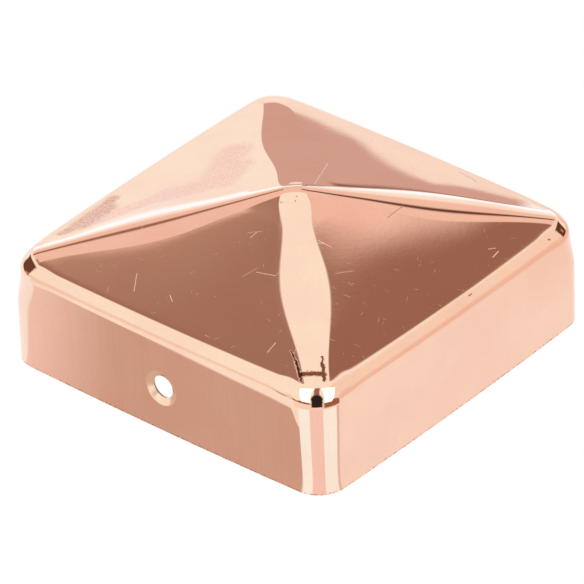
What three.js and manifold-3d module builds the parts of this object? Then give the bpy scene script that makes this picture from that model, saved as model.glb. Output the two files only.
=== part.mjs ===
// Pyramid post cap, pressed from one sheet of copper: a square skirt that slips over a timber post,
// a rounded eave, and four faces that rise to a blunt point. It is open below.
// Millimetres. +Z is up; the origin is the middle of the open mouth, in the plane of the rim.
// The two skirts that carry a screw hole look along -Y and +Y.

import * as THREE from "three";
import { mergeVertices } from "three/addons/utils/BufferGeometryUtils.js";
import Module from "manifold-3d";

const wasm = await Module();
wasm.setup();

// Driving dimensions.
const MOUTH = 71; // clear width inside the skirt, for a 70 mm square post
const SHEET = 0.6; // thickness of the sheet
const SKIRT = 18.1; // height of the upright part of the skirt
const CORNER_RADIUS = 5.4; // plan radius of the upright corners at the rim, outside
const BALL_RADIUS = 6.6; // and where they meet the eave
const WIDENS_AT = 9; // height where they start to widen
const EAVE_LENGTH = 5.2; // the bend between skirt and face, measured along the sheet
const FACE_SLOPE = THREE.MathUtils.degToRad(17.1);
const SIDE_BOW = 0.42; // how far the middle of each side swells beyond its ends
const HIP_TOP_RADIUS = 4.3; // plan radius of the hips towards the point
const HIP_FOOT_RADIUS = 3.5; // and towards the eave
const HIP_SWELL = 3; // how much rounder the hips are where they swell, halfway up
const HIP_SWELL_AT = 19.5; // half width of the cap at that height
const HIP_SWELL_REACH = 13.5; // half widths from there to where the swelling has faded out
const BALL_REACH = [31.4, 34]; // half widths between which a hip grows into the ball of its corner
const TIP_RADIUS = 1.3; // blunting of the point, as a half width
const HOLE_DIAMETER = 4.3;
const DIMPLE_DIAMETER = 6.9; // the hole's pressed countersink, at the face of the sheet
const DIMPLE_DEPTH = 0.65;
const HOLE_HEIGHT = 8.75; // above the rim
const HOLE_SHIFT = 0.3; // the punch lands a little to the right of the middle
const COPPER = new THREE.Color(0.86, 0.56, 0.43);

// Fineness of the facets. An odd number of panels keeps the middle of each side flat and square on.
const SIDE_PANELS = 7;
const CORNER_STEPS = 8;
const SKIRT_STEPS = 3;
const EAVE_STEPS = 9;
const FACE_STEPS = 16;
const TURN_STEPS = 40;

// What follows from them.
const HALF = MOUTH / 2 + SHEET; // half the outside width at the ends of a side
const BEND = eaveBend();
const FACE_FOOT = HALF - BEND[EAVE_STEPS].inset; // half width where a face starts
const FACE_FOOT_Z = SKIRT + BEND[EAVE_STEPS].rise;
const SHARP_APEX_Z = FACE_FOOT_Z + FACE_FOOT * Math.tan(FACE_SLOPE);
const SMALLEST_HALF = 0.8; // half width of the last ring below the point

// The bend from skirt to face, as steps from its start. The sheet leans from upright to the slope of
// a face as (1 - t)^4 (1 + 4t), so it turns sharply just above the skirt and straightens slowly.
function eaveBend() {
  const leanAt = (t) => FACE_SLOPE + (Math.PI / 2 - FACE_SLOPE) * (1 - t) ** 4 * (1 + 4 * t);
  const parts = 30 * EAVE_STEPS;
  const points = [];
  let inset = 0;
  let rise = 0;
  for (let i = 0; i <= parts; i++) {
    if (i % 30 === 0) points.push({ inset, rise, lean: leanAt(i / parts) });
    const middle = leanAt((i + 0.5) / parts);
    inset += (Math.cos(middle) * EAVE_LENGTH) / parts;
    rise += (Math.sin(middle) * EAVE_LENGTH) / parts;
  }
  return points;
}

// The section through the middle of a side, as a list of points from the rim to the last ring.
// Each has its half width h, height z, plan corner radius r, and the outward normal nh, nz.
function section() {
  const points = [{ h: HALF, z: 0, r: CORNER_RADIUS, nh: 1, nz: 0 }];
  for (let i = 0; i < SKIRT_STEPS; i++) {
    const z = THREE.MathUtils.lerp(WIDENS_AT, SKIRT, i / SKIRT_STEPS);
    const widening = THREE.MathUtils.smoothstep(z, WIDENS_AT, SKIRT);
    const r = THREE.MathUtils.lerp(CORNER_RADIUS, BALL_RADIUS, widening);
    points.push({ h: HALF, z, r, nh: 1, nz: 0 });
  }
  for (const { inset, rise, lean } of BEND) {
    const h = HALF - inset;
    points.push({ h, z: SKIRT + rise, r: roofRadius(h), nh: Math.sin(lean), nz: Math.cos(lean) });
  }
  for (let i = 1; i <= FACE_STEPS; i++) {
    const up = Math.sin((i / FACE_STEPS) * Math.PI / 2); // rings lie closer towards the point
    points.push(facePoint(THREE.MathUtils.lerp(FACE_FOOT, SMALLEST_HALF, up)));
  }
  return points;
}

// Plan radius of the corners of the roof at half width h: a hip that swells halfway up, is eased to
// a sharp end at the point, and grows into the ball of its corner at the eave.
function roofRadius(h) {
  const away = THREE.MathUtils.clamp((h - HIP_SWELL_AT) / HIP_SWELL_REACH, -1, 1);
  const swell = Math.cos((away * Math.PI) / 2) ** 2;
  const even = THREE.MathUtils.lerp(HIP_TOP_RADIUS, HIP_FOOT_RADIUS, h / FACE_FOOT);
  const hip = ((even + HIP_SWELL * swell) ** -4 + (0.9 * h) ** -4) ** -0.25;
  return THREE.MathUtils.lerp(hip, BALL_RADIUS, THREE.MathUtils.smoothstep(h, ...BALL_REACH));
}

// A point of the face at half width h. The height is a hyperbola: a straight slope with a blunt tip.
function facePoint(h) {
  const reach = Math.hypot(h, TIP_RADIUS);
  const z = SHARP_APEX_Z - reach * Math.tan(FACE_SLOPE);
  const slope = (h / reach) * Math.tan(FACE_SLOPE);
  const length = Math.hypot(1, slope);
  return { h, z, r: roofRadius(h), nh: slope / length, nz: 1 / length };
}

// The same section one sheet thickness further in, for the inside of the cap.
function inward(point) {
  return {
    h: point.h - SHEET * point.nh,
    z: point.z - SHEET * point.nz,
    r: Math.max(point.r - SHEET * point.nh, 0.3 * point.r),
  };
}

// One level ring: a square with round corners whose sides bow out a little, anticlockwise from +X.
function ring({ h, z, r }) {
  const straight = h - r;
  const bow = SIDE_BOW * (h / HALF);
  const quarter = [];
  for (let i = 0; i < SIDE_PANELS; i++) {
    const y = straight * ((2 * i) / SIDE_PANELS - 1);
    quarter.push(new THREE.Vector2(h + bow * (1 - (y / straight) ** 2), y));
  }
  for (let i = 0; i < CORNER_STEPS; i++) {
    const angle = (i / CORNER_STEPS) * (Math.PI / 2);
    quarter.push(new THREE.Vector2(straight + r * Math.cos(angle), straight + r * Math.sin(angle)));
  }
  const points = [];
  for (let turn = 0; turn < 4; turn++) {
    for (const p of quarter) {
      const q = p.clone().rotateAround(new THREE.Vector2(), (turn * Math.PI) / 2);
      points.push(new THREE.Vector3(q.x, q.y, z));
    }
  }
  return points;
}

// The whole sheet: rings up the outside, a fan at each point, rings down the inside and a flat rim.
function sheetGeometry() {
  const outside = section();
  const inside = outside.map(inward).reverse();
  inside[inside.length - 1].z = 0;
  const outsideRings = outside.map(ring);
  const insideRings = inside.map(ring);
  const count = outsideRings[0].length;
  const tipZ = SHARP_APEX_Z - TIP_RADIUS * Math.tan(FACE_SLOPE);

  const points = [...outsideRings.flat(), ...insideRings.flat()];
  const outerTip = points.push(new THREE.Vector3(0, 0, tipZ)) - 1;
  const innerTip = points.push(new THREE.Vector3(0, 0, tipZ - SHEET)) - 1;

  const index = [];
  const band = (low, high) => {
    for (let i = 0; i < count; i++) {
      const j = (i + 1) % count;
      index.push(low + i, low + j, high + j, low + i, high + j, high + i);
    }
  };
  const firstInside = outsideRings.length * count;
  const lastInside = firstInside + (insideRings.length - 1) * count;
  for (let k = 0; k < outsideRings.length - 1; k++) {
    band(k * count, (k + 1) * count);
    band(firstInside + k * count, firstInside + (k + 1) * count);
  }
  band(lastInside, 0);
  for (let i = 0; i < count; i++) {
    const j = (i + 1) % count;
    index.push(firstInside - count + i, firstInside - count + j, outerTip);
    index.push(firstInside + j, firstInside + i, innerTip);
  }
  const geometry = new THREE.BufferGeometry().setFromPoints(points);
  geometry.setIndex(index);
  return geometry;
}

// A turned solid on the axis of a screw hole. The profile is a list of [radius, depth], where depth
// is measured into the cap from the outer face of the skirt; turns is 0 for -Y and 2 for +Y.
function turnedAtHole(profile, turns) {
  const geometry = new THREE.LatheGeometry(
    profile.map(([radius, depth]) => new THREE.Vector2(radius, depth)),
    TURN_STEPS,
  );
  geometry.translate(HOLE_SHIFT, -(HALF + SIDE_BOW), HOLE_HEIGHT);
  geometry.rotateZ((turns * Math.PI) / 2);
  return geometry;
}

// The back of the pressed dimple, which stands proud of the inner face of the skirt.
function dimpleBack(turns) {
  const foot = DIMPLE_DIAMETER / 2 + SHEET / 4;
  const lip = HOLE_DIAMETER / 2 + SHEET / 2;
  const middle = SHEET / 2;
  const top = SHEET + DIMPLE_DEPTH;
  return turnedAtHole([[0, middle], [foot, middle], [foot, SHEET], [lip, top], [0, top]], turns);
}

// The hollow of the dimple and the hole through it.
function dimpleCut(turns) {
  const wide = DIMPLE_DIAMETER / 2;
  const narrow = HOLE_DIAMETER / 2;
  const clear = 2 * SHEET + DIMPLE_DEPTH;
  return turnedAtHole(
    [[0, -SHEET], [wide, -SHEET], [wide, 0], [narrow, DIMPLE_DEPTH], [narrow, clear], [0, clear]],
    turns,
  );
}

// A closed mesh as a solid: only positions, shared vertices merged, no triangle without area.
function toSolid(geometry) {
  geometry.deleteAttribute("normal");
  geometry.deleteAttribute("uv");
  const merged = mergeVertices(geometry, 1e-4);
  const triVerts = [];
  for (let i = 0; i < merged.index.count; i += 3) {
    const [a, b, c] = [0, 1, 2].map((k) => merged.index.getX(i + k));
    if (a !== b && b !== c && c !== a) triVerts.push(a, b, c);
  }
  return new wasm.Manifold(
    new wasm.Mesh({
      numProp: 3,
      vertProperties: merged.attributes.position.array,
      triVerts: new Uint32Array(triVerts),
    }),
  );
}

function toGeometry(solid) {
  const mesh = solid.getMesh();
  const geometry = new THREE.BufferGeometry();
  geometry.setAttribute("position", new THREE.BufferAttribute(mesh.vertProperties, 3));
  geometry.setIndex(new THREE.BufferAttribute(mesh.triVerts, 1));
  geometry.computeVertexNormals();
  return geometry;
}

// The pressed cap: the sheet, with a dimpled screw hole in the middle of two opposite skirts.
function postCap() {
  let solid = toSolid(sheetGeometry());
  for (const turns of [0, 2]) {
    solid = solid.add(toSolid(dimpleBack(turns))).subtract(toSolid(dimpleCut(turns)));
  }
  const material = new THREE.MeshStandardMaterial({ color: COPPER, roughness: 0.12, metalness: 1 });
  const mesh = new THREE.Mesh(toGeometry(solid), material);
  mesh.name = "post_cap";
  return mesh;
}

const cap = new THREE.Group();
cap.add(postCap());

export default cap;
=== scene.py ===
# %% [markdown]
# # A pressed copper post cap
# The cap is one sheet of polished copper, drawn over a pyramid-shaped die. It slips over the head
# of a square timber post and is held by screws through dimpled holes in two of its skirts.
# Almost all of its look is reflection, so this lesson spends its care on two things: a surface
# whose bends are as smooth and as uneven as pressed metal, and a light tent for it to reflect.
# We start by loading the imported part.

import math

import bpy
import numpy as np
from mathutils import Matrix, Vector


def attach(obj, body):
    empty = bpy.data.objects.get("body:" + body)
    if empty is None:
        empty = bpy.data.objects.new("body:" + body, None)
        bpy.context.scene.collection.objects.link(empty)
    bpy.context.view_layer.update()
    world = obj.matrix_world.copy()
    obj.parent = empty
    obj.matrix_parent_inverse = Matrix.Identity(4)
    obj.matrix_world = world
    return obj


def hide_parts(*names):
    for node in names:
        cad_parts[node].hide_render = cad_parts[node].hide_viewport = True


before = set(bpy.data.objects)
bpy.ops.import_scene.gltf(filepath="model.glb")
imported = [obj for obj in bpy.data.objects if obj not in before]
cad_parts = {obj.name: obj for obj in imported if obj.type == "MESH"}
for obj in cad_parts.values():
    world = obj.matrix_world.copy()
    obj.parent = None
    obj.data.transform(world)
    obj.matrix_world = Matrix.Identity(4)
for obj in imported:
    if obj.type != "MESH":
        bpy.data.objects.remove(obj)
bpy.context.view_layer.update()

# %% [markdown]
# ## The section of the sheet
# A post cap is drawn in one stroke: the skirt hangs straight down, the eave is a small bend, and
# each face climbs at a gentle slope to a blunt point. One could model a pyramid and bevel it, but
# a bevel has the same radius from end to end and starts with a jerk, and a mirror shows both. On
# the real pressing the bend comes on fast and dies away slowly, and the hips swell halfway up.
# So the whole skin is one function of two parameters. The first runs up the section from the rim
# to the point; the second runs round the cap. Sizes are in millimetres until the mesh is made.

# %% Sizes of the pressing
MOUTH = 71.0  # clear width of the open mouth
SHEET = 0.6
HALF = MOUTH / 2 + SHEET  # half the outside width, at the ends of a side
SLOPE = np.radians(17.1)
SHARP_Z = 31.18  # height where the four faces would meet in a sharp point
TIP = 0.35  # blunting of the point
BEND = (5.2, 4)  # the eave's bend: its length along the sheet, and how early it is sharpest
CORNER_BEND = (5.1, 2)  # the same where the eave turns a corner and can't fold so sharply
ROUNDED = np.array([0.5, 0.0, 0.5, 1.0])  # share of that at the right, back, left and front corner
BOW = 0.42  # swelling of the middle of each side
UPRIGHT = 5.4  # plan radius of the upright corners
BALLS = np.array([7.3, 5.0, 7.4, 6.6])  # and where they meet the eave: right, back, left, front
GROWS = np.array([33.0, 31.4, 33.0, 33.3])  # half width where a hip starts to grow into its ball
WIDENS = np.array([11.0, 11.0, 11.0, -4.0])  # height where the upright starts to widen to it
HIPS = np.array([1.0, 1.0, 1.0, 0.93])  # each hip's roundness, in the same order
POINTED = np.array([0.6, 1.0, 0.6, 1.0])  # their share of a ring at the point
RIDGE = (2.0, 1.1, 0.27)  # their radius where they meet over the point, and how it grows
FRONT_HIP = (3.2, 4.2)  # the front and back hips' radius at that ridge, and beyond it
NEAR_POINT = (4.5, 8.5)  # half widths between which the faces give way to the shape of the point
LAST = 0.22  # half width of the ring just below the point
print("outside width in mm, at the ends and the middle of a side:", 2 * HALF, 2 * (HALF + BOW))


# %% The section
def rise(value, start, end):
    """Smooth step from 0 at start to 1 at end."""
    t = np.clip((value - start) / (end - start), 0, 1)
    return t * t * (3 - 2 * t)


def face_height(h):
    """Height of a face at half width h: a hyperbola, straight but for its blunt tip."""
    return SHARP_Z - np.tan(SLOPE) * np.hypot(h, TIP)


def eave_bend(rows, length, early):
    """Half width and height along the bend. The sheet leans from upright to the face's slope as
    (1 - t)^n (1 + nt), so its curvature grows like t and fades like (1 - t)^(n - 1). The points
    are the running sums of the cosine and sine of the lean, moved up to meet the face."""
    t = np.linspace(0, 1, 601)
    lean = SLOPE + (np.pi / 2 - SLOPE) * (1 - t) ** early * (1 + early * t)
    step = length / 600
    mean = (lean[1:] + lean[:-1]) / 2
    h = HALF - np.concatenate([[0], np.cumsum(np.cos(mean) * step)])
    z = np.concatenate([[0], np.cumsum(np.sin(mean) * step)])
    z += face_height(h[-1]) - z[-1]
    at = np.linspace(0, 1, rows)
    return np.interp(at, t, h), np.interp(at, t, z)


def section(bend=BEND, skirt_rows=20, eave_rows=28, face_rows=70):
    """Half width h and height z of each level ring from the rim up: skirt, bend, face. The face's
    rings are evenly spaced in half width, and lie closer together near the point."""
    bend_h, bend_z = eave_bend(eave_rows, *bend)
    skirt_z = np.linspace(0, bend_z[0], skirt_rows, endpoint=False)
    near_top = np.linspace(3.3, LAST, 15)
    face_h = np.concatenate([np.linspace(bend_h[-1], 3.5, face_rows)[1:], near_top])
    h = np.concatenate([np.full(skirt_rows, HALF), bend_h, face_h])
    return h, np.concatenate([skirt_z, bend_z, face_height(face_h)])


SIDE_COLUMNS, CORNER_COLUMNS = 64, 24
h, z = section()
SKIRT_ROWS = int((h == HALF).sum()) - 1
SKIRT_TOP = z[SKIRT_ROWS]
print("rings:", len(h), "columns:", 4 * (SIDE_COLUMNS + CORNER_COLUMNS))
print("the skirt ends and the bend begins at", round(SKIRT_TOP, 2), "mm")

# %% The plan radius of the corners
HIP_AT_POINT = 4.3
HIP_TAPER = 0.0232  # loss of radius for each millimetre of half width
SWELLS_BY = 3.0
SWELLS_AT = 19.5  # half width at the middle of the swelling
SWELLS_OVER = 13.5  # and how far it reaches to either side


def hip_radii(h):
    """Plan radius of the four hips on the level ring of half width h: a straight fall from the
    point to the foot, plus a cosine-squared swelling about its middle. Towards the point each is
    eased under the share of the ring that it has room for, POINTED times h."""
    away = np.clip((h - SWELLS_AT) / SWELLS_OVER, -1, 1)
    free = HIP_AT_POINT - HIP_TAPER * h + SWELLS_BY * np.cos(away * np.pi / 2) ** 2
    room = h[:, None] * POINTED
    return (room**-4.0 + (free[:, None] * HIPS) ** -4.0) ** -0.25


def corner_radii(h, z):
    """Plan radius of the right, back, left and front corner on each ring. On the roof it is the
    hip's, and it grows to the ball's at the eave; down the skirt it shrinks to the upright's."""
    hip = hip_radii(h)
    roof = hip + (BALLS - hip) * rise(h[:, None], GROWS, GROWS + 2.6)
    top = z[h == HALF].max()
    skirt = UPRIGHT + (BALLS - UPRIGHT) * rise(z[:, None], WIDENS, top)
    return np.where((z < top)[:, None], skirt, roof)


at_eave = corner_radii(h, z)[SKIRT_ROWS + 1]
print("corner radii at the eave, right, back, left, front:", np.round(at_eave, 2))


# %% Carry the section round the cap
def level_rings(h, z, r):
    """The skin as a grid of points (ring, column, xyz). Each ring is a square with round corners:
    a side is a shallow parabola that swells by BOW in the middle, a corner is a quarter circle.
    The quarters start at the side towards +X and go anticlockwise; each is turned into place."""
    t = np.linspace(-1, 1, SIDE_COLUMNS, endpoint=False)
    s = 0.55 * t + 0.45 * np.sin(np.pi / 2 * t)  # columns lie closer towards the corners
    a = np.linspace(0, np.pi / 2, CORNER_COLUMNS, endpoint=False)
    quarters = []
    for k in range(4):
        before, after = (h - r[:, k - 1])[:, None], (h - r[:, k])[:, None]
        radius = r[:, k][:, None]
        swell = BOW * (h / HALF)[:, None] * (1 - s**2)
        out = np.concatenate([h[:, None] + swell, after + radius * np.cos(a)], 1)
        side = np.concatenate(
            [(after + before) / 2 * s + (after - before) / 2, after + radius * np.sin(a)], 1
        )
        c, n = np.cos(k * np.pi / 2), np.sin(k * np.pi / 2)
        level = np.broadcast_to(z[:, None], out.shape)
        quarters.append(np.stack([out * c - side * n, out * n + side * c, level], -1))
    return np.concatenate(quarters, 1)


# %% Where the corner's own section holds
CORNER_FROM = 0.78  # share of a half side at which its section starts to follow the corner's


def corner_shares():
    """For each column, how far it follows the corner's section: fully round a corner, easing to
    nothing along the outer part of the two sides that meet there."""
    s = np.abs(np.linspace(-1, 1, SIDE_COLUMNS, endpoint=False))
    shares = []
    for k in range(4):
        before = ROUNDED[k - 1] * rise(s, CORNER_FROM, 1.0)[: SIDE_COLUMNS // 2]
        after = ROUNDED[k] * rise(s, CORNER_FROM, 1.0)[SIDE_COLUMNS // 2 :]
        shares += [before, after, np.full(CORNER_COLUMNS, ROUNDED[k])]
    return np.concatenate(shares)


print("columns that follow a corner:", int((corner_shares() > 0).sum()))


# %% Over the point
def round_fold(distance, radius):
    """The absolute value of a distance, its fold rounded by a circle of the given radius."""
    arc = np.sqrt(2) * radius - np.sqrt(np.maximum(radius**2 - distance**2, radius**2 / 2))
    return np.where(np.abs(distance) < radius / np.sqrt(2), arc, np.abs(distance))


def top_height(points):
    """Height near the point. A pyramid falls by the sum of the distances from its two diagonals;
    here both are rounded folds. The one from the left to the right hip runs over the point as a
    narrow ridge, and the broader front and back hips end at it."""
    along = (points[..., 0] + points[..., 1]) / np.sqrt(2)
    across = (points[..., 0] - points[..., 1]) / np.sqrt(2)
    least, start, growth = RIDGE
    ridge = (least**4 + (start + growth * np.abs(along)) ** 4) ** 0.25
    front = FRONT_HIP[0] + (FRONT_HIP[1] - FRONT_HIP[0]) * rise(np.abs(across), 0, 4)
    folds = round_fold(across, ridge) + round_fold(along, front)
    return SHARP_Z - np.tan(SLOPE) / np.sqrt(2) * folds


print("height of the point in mm:", round(float(top_height(np.zeros(3))), 2))


# %% The whole skin
def whole_skin(**rows):
    """The rings with the side's section, moved towards those with the corner's section, and with
    the heights near the point taken from top_height."""
    side_h, side_z = section(BEND, **rows)
    turn_h, turn_z = section(CORNER_BEND, **rows)
    sides = level_rings(side_h, side_z, corner_radii(side_h, side_z))
    turns = level_rings(turn_h, turn_z, corner_radii(turn_h, turn_z))
    skin = sides + (turns - sides) * corner_shares()[None, :, None]
    near_point = 1 - rise(side_h, *NEAR_POINT)[:, None]
    skin[..., 2] += (top_height(skin) - skin[..., 2]) * near_point
    return skin


skin = whole_skin()
print("skin grid:", skin.shape)

# %% [markdown]
# ## The screw hole
# The hole is punched through a small pressed dimple, so that a countersunk head sits flush. A
# boolean would leave long thin triangles around it that glint in polished metal. Instead a
# rectangle of the skirt's cells is taken out, and rings run from its edge in to the hole, where
# they become circles. The depth of the dimple is then only a function of the distance to the axis.

# %% Sizes of the hole
HOLE_RADIUS = 2.15
DIMPLE_RADIUS = 3.45
DIMPLE_DEPTH = 0.65
DIMPLE_SHARPNESS = 11  # how suddenly the cone leaves the flat sheet
HOLE_Z = 8.75
HOLE_SHIFT = 0.3  # the punch lands a little to the right of the middle
PATCH_HALF = 5.6  # half the width of the rectangle that is taken out


def dimple_depth(rho):
    """Depth at a distance rho from the hole's axis: a straight cone from the lip down to the edge
    of the hole, eased into the flat sheet by a soft corner."""
    share = (DIMPLE_RADIUS - rho) / (DIMPLE_RADIUS - HOLE_RADIUS)
    return DIMPLE_DEPTH * np.logaddexp(0, DIMPLE_SHARPNESS * share) / DIMPLE_SHARPNESS


print("depth at the edge of the hole in mm:", round(float(dimple_depth(HOLE_RADIUS)), 2))

# %% Rings from the rectangle in to the hole
EASING = (0.35, 0.7)  # shares of the way to the first circle
CIRCLES = (4.25, 4.0, 3.8, 3.65, 3.55, DIMPLE_RADIUS, 3.35, 3.15, 2.85, 2.55, 2.3, 2.2, HOLE_RADIUS)


def hole_rings(edge):
    """Points (ring, column, along and up) from the edge of the rectangle in to the hole. Each
    point keeps its direction from the axis while its radius goes from the edge's to the hole's."""
    centre = np.array([HOLE_SHIFT, HOLE_Z])
    away = edge - centre
    rho = np.hypot(away[:, 0], away[:, 1])
    direction = away / rho[:, None]
    between = rho[None, :] + (CIRCLES[0] - rho)[None, :] * np.array(EASING)[:, None]
    radii = np.concatenate([between, np.repeat(np.array(CIRCLES)[:, None], len(rho), 1)])
    return centre + direction[None] * radii[..., None], radii


print("rings from the rectangle to the hole:", len(EASING) + len(CIRCLES))

# %% [markdown]
# ## Unevenness of a pressing
# A drawn sheet is never quite flat. It keeps a slow waviness, falls away a little towards its
# eaves and corners, and picks up a dent in handling. In dull metal none of this would show; in a
# mirror it bends every reflection. A bump map could fake it, but the exported mesh would lose it.
# So it is added to the points themselves, as a height along the surface's own normal, and the
# normals stay true to the shape.


# %% Waviness, falling edges and a dent
def bump_at(points, centre, reach, height):
    """A round rise or dent: height times a bell curve of the distance to its centre."""
    distance = np.linalg.norm(points - np.array(centre), axis=-1)
    return height * np.exp(-((distance / reach) ** 2))


def unevenness(points):
    """Height in millimetres along the outward normal: slow sine waves that cross each other, a
    gentle fall of the back face towards its eave, a fall of each hip towards its corner, and one
    dent in the back face."""
    x, y, z = points[..., 0], points[..., 1], points[..., 2]
    slow = 0.0016 * np.sin(0.31 * x + 0.17 * y + 0.9) * np.sin(0.23 * y - 0.12 * x + 0.35 * z)
    height = slow * rise(z, 0, 3)
    roof = rise(z, 16.5, 20.3)
    back = np.maximum(0, y - 14) / 20
    height -= 0.134 * back**2 * rise(y - np.abs(x), -2, 3) * roof
    for side in (-1, 1):
        for end in (-1, 1):
            along = (side * x + end * y) / np.sqrt(2)
            across = (side * y - end * x) / np.sqrt(2)
            near = np.exp(-((across / 6) ** 2))
            fall = 0.022 if (side, end) == (-1, 1) else 0.006
            height -= fall * np.logaddexp(0, 1.6 * (along - 40.2)) / 1.6 * near * roof
    height += bump_at(points, (-26.5, 27.3, 22.4), 1.3, -0.03)
    return height


waves = unevenness(skin)
print("waviness in mm, from", round(float(waves.min()), 3), "to", round(float(waves.max()), 3))

# %% [markdown]
# ## From arrays to one closed sheet
# The outside is now a list of points and faces. The inside is the same list moved in by the
# thickness of the sheet, along the normals, so the wall is even through every bend. Strips close
# the rim and the two holes. The points of the whole piece are worked out before Blender sees them.


# %% Normals of a list of points and faces
def point_normals(points, faces):
    """Unit normal at each point: the sum of the area vectors of the faces that meet there."""
    a, b, c, d = (points[faces[:, k]] for k in range(4))
    area = np.cross(c - a, d - b)
    total = np.zeros_like(points)
    for k in range(4):
        np.add.at(total, faces[:, k], area)
    return total / np.maximum(np.linalg.norm(total, axis=1, keepdims=True), 1e-12)


def strip(low, high):
    """Faces between two closed loops of point numbers, the high one on the left of the low one."""
    return np.stack([low, np.roll(low, -1), np.roll(high, -1), high], -1).reshape(-1, 4)


# %% The window in the skirt and what fills it
def window(skin, quarter, along):
    """First and last ring, and first and last column, of the rectangle of cells that a hole
    replaces: those nearest to PATCH_HALF from its axis."""
    first = quarter * (SIDE_COLUMNS + CORNER_COLUMNS)
    offset = skin[0, first : first + SIDE_COLUMNS, :2] @ along - HOLE_SHIFT
    left = first + np.abs(offset + PATCH_HALF).argmin()
    right = first + np.abs(offset - PATCH_HALF).argmin()
    level = skin[:SKIRT_ROWS, 0, 2]
    low = np.abs(level - (HOLE_Z - PATCH_HALF)).argmin()
    high = np.abs(level - (HOLE_Z + PATCH_HALF)).argmin()
    return low, high, left, right


def patch_points(edge, along, outward):
    """Rings of points from the window's edge in to the hole, on the swelling face of the skirt and
    pushed in by the depth of the dimple."""
    rings_in, radii = hole_rings(np.stack([edge[:, :2] @ along, edge[:, 2]], -1))
    share = np.clip(rings_in[..., 0] / (HALF - UPRIGHT), -1, 1)
    face = HALF + BOW * (1 - share**2)
    depth = dimple_depth(radii) - dimple_depth(np.array(PATCH_HALF))
    plan = along * rings_in[..., :1] + outward * (face - depth)[..., None]
    return np.concatenate([plan, rings_in[..., 1:]], -1)


# %% The outside skin with its two holes
def outside_skin(skin):
    """Points, faces, the loops of the two holes and the rim loop. The grid's cells behind each
    hole give way to the rings of hole_rings, and the point is closed by a fan."""
    rings, around, _ = skin.shape
    number = np.arange(rings * around).reshape(rings, around)
    points = [skin.reshape(-1, 3)]
    keep = np.ones((rings - 1, around), bool)
    count = rings * around
    faces, hole_loops = [], []
    for quarter, sign in ((1, 1.0), (3, -1.0)):
        outward, along = np.array([0.0, sign]), np.array([-sign, 0.0])
        low, high, left, right = window(skin, quarter, along)
        keep[low:high, left:right] = False
        edge = np.concatenate(
            [
                number[low, left:right],
                number[low:high, right],
                number[high, right:left:-1],
                number[high:low:-1, left],
            ]
        )
        loops = [edge]
        for ring_points in patch_points(skin.reshape(-1, 3)[edge], along, outward):
            loops.append(count + np.arange(len(edge)))
            points.append(ring_points)
            count += len(edge)
        faces += [strip(a, b) for a, b in zip(loops[:-1], loops[1:])]
        hole_loops.append(loops[-1])
    grid = np.stack(
        [number[:-1], np.roll(number[:-1], -1, 1), np.roll(number[1:], -1, 1), number[1:]], -1
    )
    faces.append(grid[keep])
    points.append(np.array([[0.0, 0.0, float(top_height(np.zeros(3)))]]))
    tip = np.full(around, count)
    last = number[-1]
    faces.append(np.stack([last, np.roll(last, -1), tip, tip], -1))
    return np.concatenate(points), np.concatenate(faces), hole_loops, number[0]


outer, outer_faces, hole_loops, rim_loop = outside_skin(skin)
normals = point_normals(outer, outer_faces)
outer = outer + normals * unevenness(outer)[:, None]
outer[:, 2] = np.maximum(outer[:, 2], 0)
normals = point_normals(outer, outer_faces)
print("outside:", len(outer), "points,", len(outer_faces), "faces")


# %% The inside, the rim and the walls of the holes
def closed_sheet(outer, faces, normals):
    """The outside, the inside one sheet thickness behind it, and rows of points that carry the
    edge from one to the other. Along the rim these rows lie flat on the ground. Returns points,
    faces and a material number for each face: 0 outside, 1 inside, 2 cut edge."""
    inner = outer - SHEET * normals
    inner[:, 2] = np.maximum(inner[:, 2], 0)
    size = len(outer)
    points, count = [outer, inner], 2 * size
    all_faces = [faces, faces[:, ::-1] + size]
    marks = [np.zeros(len(faces), int), np.ones(len(faces), int)]
    for loop, rounding in [(rim_loop, 0.07)] + [(loop, 0.0) for loop in hole_loops]:
        previous = loop
        for share in (0.25, 0.5, 0.75):
            between = outer[loop] * (1 - share) + inner[loop] * share
            if rounding:
                between[:, 2] = 0
            points.append(between)
            here = count + np.arange(len(loop))
            count += len(loop)
            all_faces.append(strip(here, previous) if rounding else strip(previous, here))
            previous = here
        last = strip(loop + size, previous) if rounding else strip(previous, loop + size)
        all_faces.append(last)
        marks.append(np.full(4 * len(loop), 2))
    return np.concatenate(points), np.concatenate(all_faces), np.concatenate(marks)


points, faces, marks = closed_sheet(outer, outer_faces, normals)
print("closed sheet:", len(points), "points,", len(faces), "faces")


# %% Scratches follow the flat blank
def blank_map(points):
    """Where each point lay on the flat sheet before pressing, in decimetres: its plan position,
    carried outwards in the measure of the way down the section from the point."""
    plan = points[:, :2]
    half = np.maximum(np.abs(plan).max(1), 1e-6)
    roof = np.minimum(half, HALF - 1.5) / np.cos(SLOPE)
    drop = np.maximum(SKIRT_TOP + 2 - points[:, 2], 0) * (half > HALF - 2.5)
    return plan * ((roof + drop) / half)[:, None] / 100


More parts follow.
